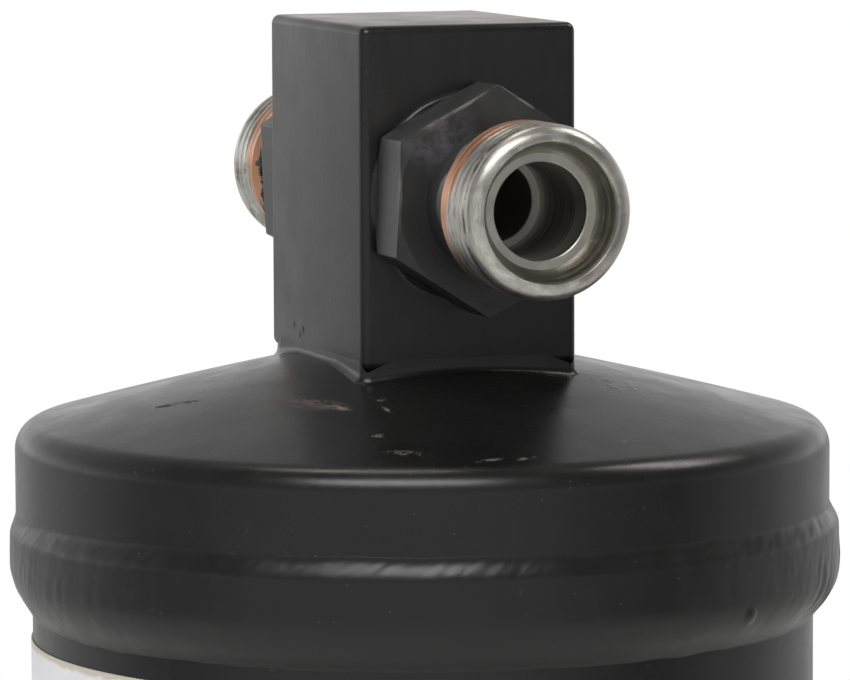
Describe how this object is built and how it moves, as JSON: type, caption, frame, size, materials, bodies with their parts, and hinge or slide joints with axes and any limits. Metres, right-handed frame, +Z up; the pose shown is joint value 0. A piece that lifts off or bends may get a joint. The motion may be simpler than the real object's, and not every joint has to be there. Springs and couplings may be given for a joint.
{
  "type": "filter drier",
  "caption": "Steel receiver drier with a domed welded cap, a drilled port block and a threaded insert fitting on the front and the rear face.",
  "frame": {"origin": "middle of the flat ring on which the can stands, on the can's axis", "axes": "+Z up along the can, -Y out of the outlet fitting, +Y out of the inlet fitting"},
  "size_m": [0.0944, 0.0944, 0.2286],
  "materials": {
    "shell_paint": "satin black paint on drawn steel",
    "weld_paint": "satin black paint over weld and braze",
    "block_paint": "satin black paint on machined steel",
    "fitting_steel": "turned steel, bare at the thread and painted black behind it",
    "tube_steel": "drawn steel tube",
    "braze": "copper-coloured braze and pressed brass",
    "screen_wire": "woven wire",
    "plate_steel": "perforated sheet",
    "felt": "pressed fibre pad",
    "desiccant": "packed clay-bound beads",
    "spring_steel": "oiled spring wire",
    "label_film": "blank white film"
  },
  "bodies": {
    "root": {"can": "shell_paint", "top_cap": "shell_paint", "shell_weld": "weld_paint", "port_block": "block_paint", "block_braze": "weld_paint", "outlet_fitting": "fitting_steel", "inlet_fitting": "fitting_steel", "outlet_braze": "weld_paint", "inlet_braze": "weld_paint", "pickup_tube": "tube_steel", "tube_braze": "braze", "strainer_ferrule": "braze", "strainer_screen": "screen_wire", "lower_plate": "plate_steel", "lower_pad": "felt", "desiccant_bed": "desiccant", "upper_pad": "felt", "upper_plate": "plate_steel", "bed_spring": "spring_steel", "label": "label_film"}
  },
  "joints": []
}
